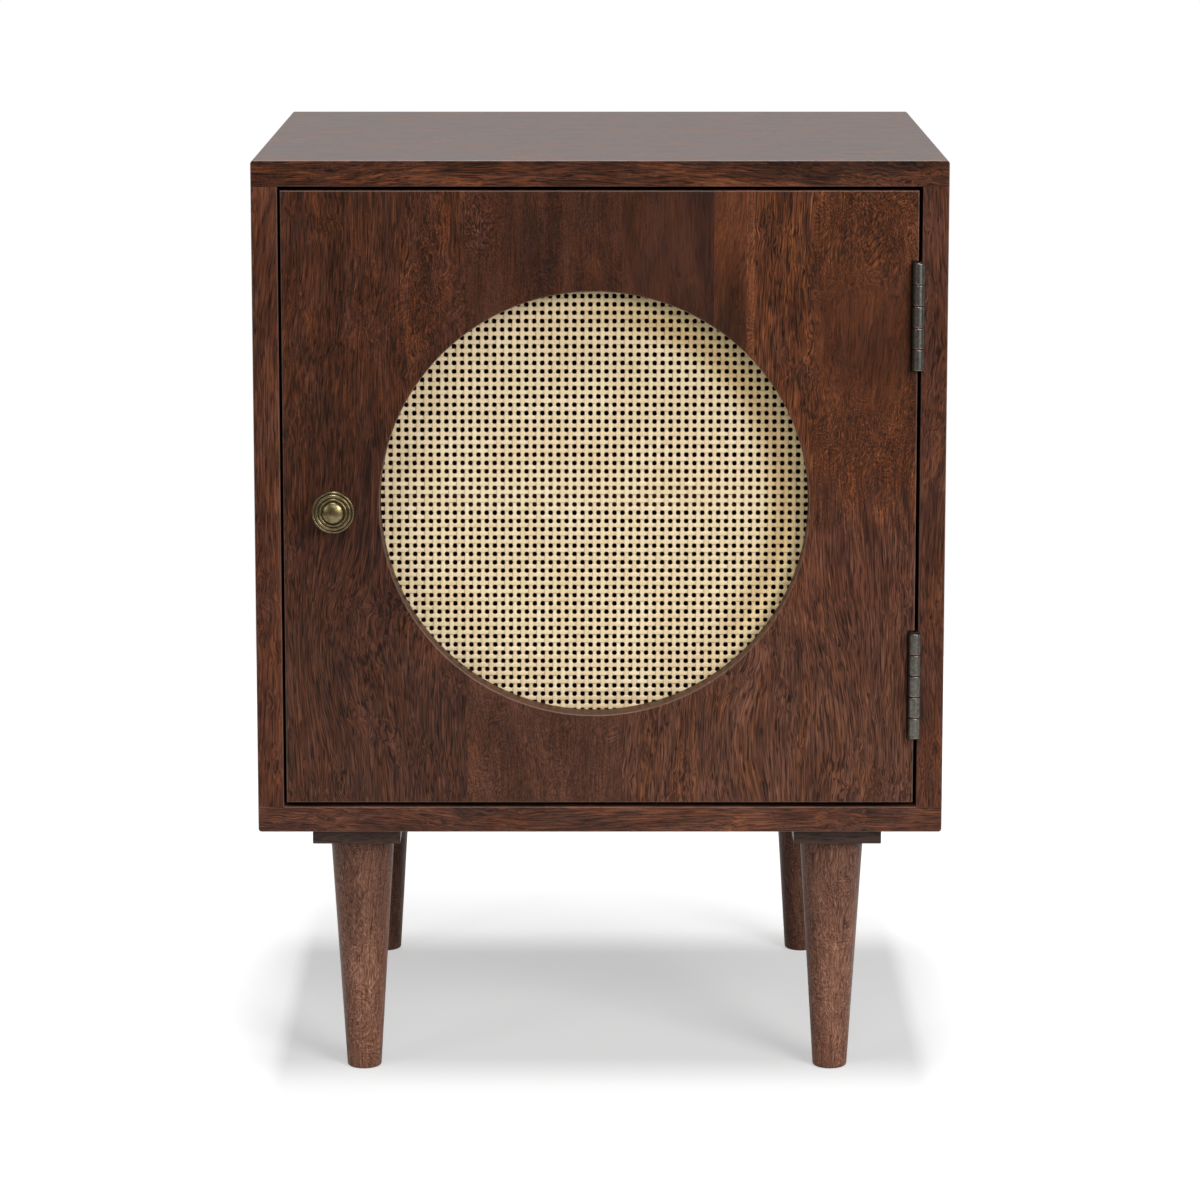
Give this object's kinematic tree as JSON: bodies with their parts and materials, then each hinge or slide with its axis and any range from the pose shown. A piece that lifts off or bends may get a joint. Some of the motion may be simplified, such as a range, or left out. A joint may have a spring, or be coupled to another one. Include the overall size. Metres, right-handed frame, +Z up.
{
  "type": "bedside cupboard",
  "caption": "Wooden bedside pot cupboard on turned tapered legs, with a hinged door that has a round cane-webbed window, a brass knob and butt hinges.",
  "frame": {"origin": "on the floor, under the middle of the cupboard's overall box with its knob", "axes": "+X to the right seen from the front, +Y from the front to the back, +Z up"},
  "size_m": [0.45, 0.424, 0.616],
  "materials": {
    "stained_wood": "satin walnut stain",
    "leg_wood": "satin walnut stain",
    "back_wood": "thin stain",
    "raw_wood": "unfinished beech",
    "cane": "natural cane, lightly glossed",
    "antique_brass": "aged satin",
    "dark_bronze": "dark antique",
    "zinc_steel": "zinc plated",
    "magnet": "sintered ferrite",
    "catch_plastic": "moulded"
  },
  "bodies": {
    "cabinet": {"top_board": "stained_wood", "bottom_board": "stained_wood", "left_side": "stained_wood", "right_side": "stained_wood", "back_panel": "back_wood", "shelf": "stained_wood", "carcass_dowels": "raw_wood", "back_panel_screws": "zinc_steel", "leg_block_front_left": "stained_wood", "leg_block_front_right": "stained_wood", "leg_block_back_left": "stained_wood", "leg_block_back_right": "stained_wood", "leg_front_left": "leg_wood", "leg_front_right": "leg_wood", "leg_back_left": "leg_wood", "leg_back_right": "leg_wood", "leg_bolts": "zinc_steel", "leg_inserts": "antique_brass", "leg_block_screws": "zinc_steel", "catch_housing": "catch_plastic", "catch_magnet": "magnet", "catch_pole_plates": "zinc_steel", "catch_screws": "zinc_steel", "upper_hinge_side_leaf": "dark_bronze", "lower_hinge_side_leaf": "dark_bronze", "upper_hinge_pin": "dark_bronze", "lower_hinge_pin": "dark_bronze", "hinge_side_screws": "dark_bronze"},
    "door": {"door_panel": "stained_wood", "cane_panel": "cane", "cane_ring": "stained_wood", "cane_ring_screws": "antique_brass", "upper_hinge_door_leaf": "dark_bronze", "lower_hinge_door_leaf": "dark_bronze", "hinge_door_screws": "dark_bronze", "knob": "antique_brass", "knob_screw": "zinc_steel", "strike_plate": "zinc_steel", "strike_screw": "zinc_steel"}
  },
  "joints": [
    {"name": "door_hinge", "type": "hinge", "parent": "cabinet", "child": "door", "pos_m": [0.2057, -0.1923, 0.39], "axis": [0, 0, 1], "range_deg": [0, 180]}
  ]
}
